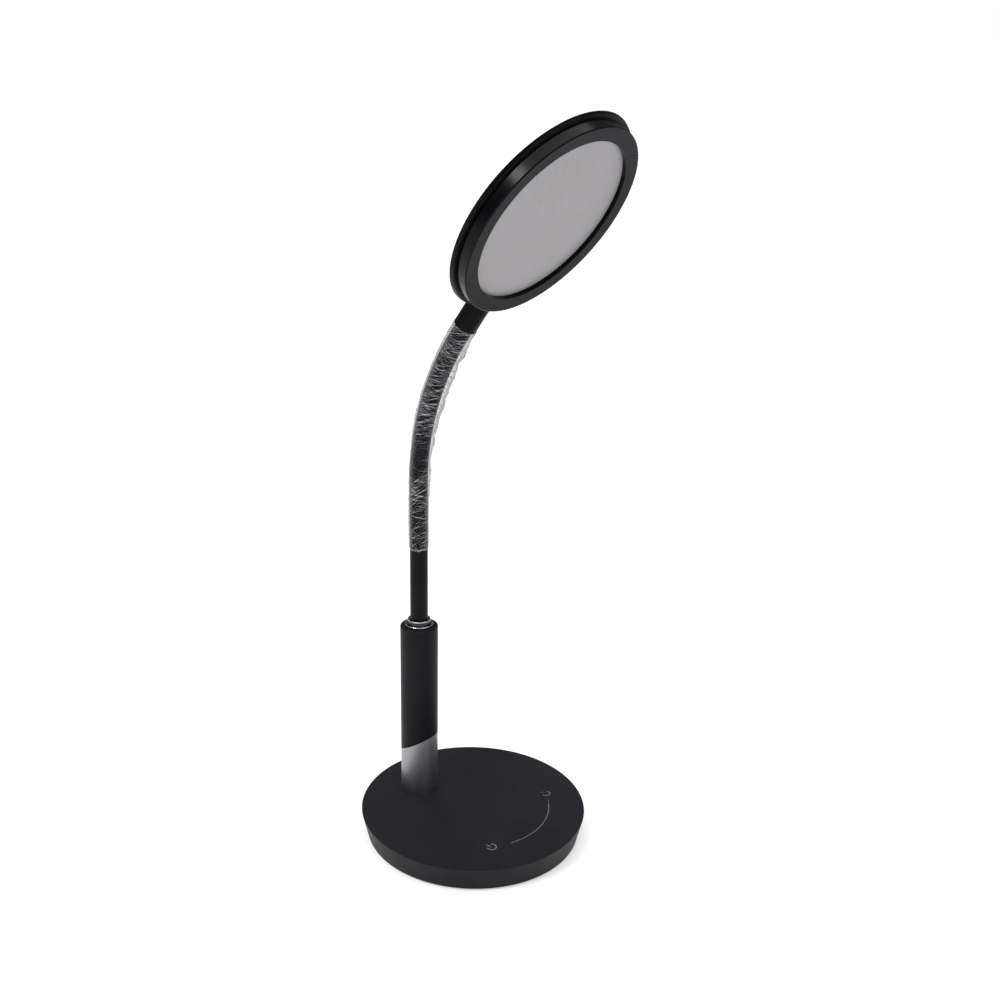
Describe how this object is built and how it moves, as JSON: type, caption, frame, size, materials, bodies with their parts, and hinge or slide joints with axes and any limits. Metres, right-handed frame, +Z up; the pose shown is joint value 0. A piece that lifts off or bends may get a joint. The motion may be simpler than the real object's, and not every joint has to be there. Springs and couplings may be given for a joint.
{
  "type": "desk lamp",
  "caption": "Desk lamp with a round flat light panel on a flexible gooseneck, a straight column and a round weighted base with touch controls.",
  "frame": {"origin": "centre of the foam pad's underside, on the surface the lamp stands on", "axes": "+Z up, -Y towards the front of the lamp, where its light and touch controls face, +X to the right hand of somebody looking along +Y"},
  "size_m": [0.1794, 0.1899, 0.5592],
  "materials": {
    "black_plastic": "fine matte",
    "head_plastic": "satin bezel, glossy rim",
    "silver_sleeve": "satin",
    "collar_chrome": "polished",
    "steel": "zinc plated",
    "ballast": "as cast",
    "foam": "closed-cell foam",
    "circuit_board": "solder mask",
    "touch_foam": "conductive foam",
    "jack_plastic": "moulded",
    "neck_skin": "matte",
    "neck_core": "dark",
    "clear_film": "crinkled film",
    "diffuser": "prismatic",
    "light_guide": "polished acrylic",
    "reflector": "white film",
    "spreader": "mill finish",
    "led": "phosphor",
    "lead_jacket": "smooth"
  },
  "bodies": {
    "base": {"base_foam_pad": "foam", "base_bottom_plate": "steel", "base_screws": "steel", "ballast_disc": "ballast", "base_cover": "black_plastic", "power_jack": "jack_plastic", "touch_board": "circuit_board", "touch_pads": "touch_foam", "column_flange": "steel", "column_flange_screws": "steel", "column_tube": "steel", "column_lower_sleeve": "silver_sleeve", "column_upper_sleeve": "black_plastic", "gooseneck_end_fitting": "steel", "gooseneck_lock_nut": "steel", "collar_ferrule": "collar_chrome", "gooseneck_core_0": "neck_core", "gooseneck_sleeve_0": "neck_skin", "lamp_lead": "lead_jacket", "jack_lead": "lead_jacket"},
    "link_1": {"gooseneck_core_1": "neck_core", "gooseneck_sleeve_1": "neck_skin"},
    "link_2": {"gooseneck_core_2": "neck_core", "gooseneck_sleeve_2": "neck_skin", "film_wrap_2": "clear_film"},
    "link_3": {"gooseneck_core_3": "neck_core", "gooseneck_sleeve_3": "neck_skin", "film_wrap_3": "clear_film"},
    "link_4": {"gooseneck_core_4": "neck_core", "gooseneck_sleeve_4": "neck_skin", "film_wrap_4": "clear_film"},
    "link_5": {"gooseneck_core_5": "neck_core", "gooseneck_sleeve_5": "neck_skin", "film_wrap_5": "clear_film"},
    "link_6": {"gooseneck_core_6": "neck_core", "gooseneck_sleeve_6": "neck_skin", "film_wrap_6": "clear_film"},
    "link_7": {"gooseneck_core_7": "neck_core", "gooseneck_sleeve_7": "neck_skin", "film_wrap_7": "clear_film"},
    "neck": {"gooseneck_core_8": "neck_core", "gooseneck_sleeve_8": "neck_skin", "film_wrap_8": "clear_film", "neck_ferrule": "black_plastic", "swivel_spindle": "steel", "swivel_washer": "steel", "swivel_nut": "steel", "neck_lead": "lead_jacket"},
    "head": {"head_front_ring": "head_plastic", "head_rear_cover": "head_plastic", "diffuser": "diffuser", "light_guide": "light_guide", "reflector_sheet": "reflector", "heat_spreader": "spreader", "led_strip": "circuit_board", "leds": "led", "module_screws": "steel", "head_lead": "lead_jacket"}
  },
  "joints": [
    {"name": "neck_bend_1", "type": "hinge", "parent": "base", "child": "link_1", "pos_m": [0, 0.051, 0.1899], "axis": [1, 0, 0], "range_deg": [-6.7, 10.8]},
    {"name": "neck_lean_2", "type": "hinge", "parent": "link_1", "child": "link_2", "pos_m": [0, 0.051, 0.2216], "axis": [0, 1, 0], "range_deg": [-12, 12]},
    {"name": "neck_bend_3", "type": "hinge", "parent": "link_2", "child": "link_3", "pos_m": [0, 0.051, 0.2533], "axis": [1, 0, 0], "range_deg": [-6.7, 10.8]},
    {"name": "neck_bend_4", "type": "hinge", "parent": "link_3", "child": "link_4", "pos_m": [0, 0.051, 0.285], "axis": [1, 0, 0], "range_deg": [-6.7, 10.8]},
    {"name": "neck_lean_5", "type": "hinge", "parent": "link_4", "child": "link_5", "pos_m": [0, 0.04868, 0.31659], "axis": [0, 0.9893, 0.1461], "range_deg": [-12, 12]},
    {"name": "neck_bend_6", "type": "hinge", "parent": "link_5", "child": "link_6", "pos_m": [0, 0.04177, 0.3475], "axis": [1, 0, 0], "range_deg": [-6.7, 10.8]},
    {"name": "neck_lean_7", "type": "hinge", "parent": "link_6", "child": "link_7", "pos_m": [0, 0.03042, 0.37706], "axis": [0, 0.9048, 0.4258], "range_deg": [-12, 12]},
    {"name": "neck_bend_8", "type": "hinge", "parent": "link_7", "child": "neck", "pos_m": [0, 0.01487, 0.40466], "axis": [1, 0, 0], "range_deg": [-6.7, 10.8]},
    {"name": "head_swivel", "type": "hinge", "parent": "neck", "child": "head", "pos_m": [0, -0.045, 0.49478], "axis": [0, -0.5534, 0.8329], "range_deg": [-81, 98]}
  ],
  "couplings": [
    {"joint": "neck_bend_3", "follows": "neck_bend_1", "ratio": 1},
    {"joint": "neck_bend_4", "follows": "neck_bend_1", "ratio": 1},
    {"joint": "neck_lean_5", "follows": "neck_lean_2", "ratio": 1},
    {"joint": "neck_bend_6", "follows": "neck_bend_1", "ratio": 1},
    {"joint": "neck_lean_7", "follows": "neck_lean_2", "ratio": 1},
    {"joint": "neck_bend_8", "follows": "neck_bend_1", "ratio": 1}
  ]
}
